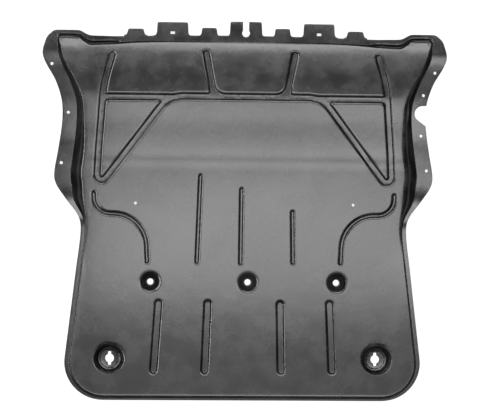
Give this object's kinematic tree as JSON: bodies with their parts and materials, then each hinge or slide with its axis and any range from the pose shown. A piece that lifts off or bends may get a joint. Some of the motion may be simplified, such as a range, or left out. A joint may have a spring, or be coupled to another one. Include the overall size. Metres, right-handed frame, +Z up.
{
  "type": "engine splash shield",
  "caption": "Moulded plastic undertray with flared side flanges, pressed beads, recessed bolt cups and tabs along its front lip.",
  "frame": {"origin": "on the floor, under the middle of the shield as it lies with its road side up", "axes": "+Y towards the front edge with the tabs, +X to the right as seen from above, +Z up, out of the road side"},
  "size_m": [0.928, 0.868, 0.0442],
  "materials": {
    "shield_plastic": "black thermoplastic sheet with a soft sheen on the road side"
  },
  "bodies": {
    "root": {"splash_shield": "shield_plastic"}
  },
  "joints": []
}
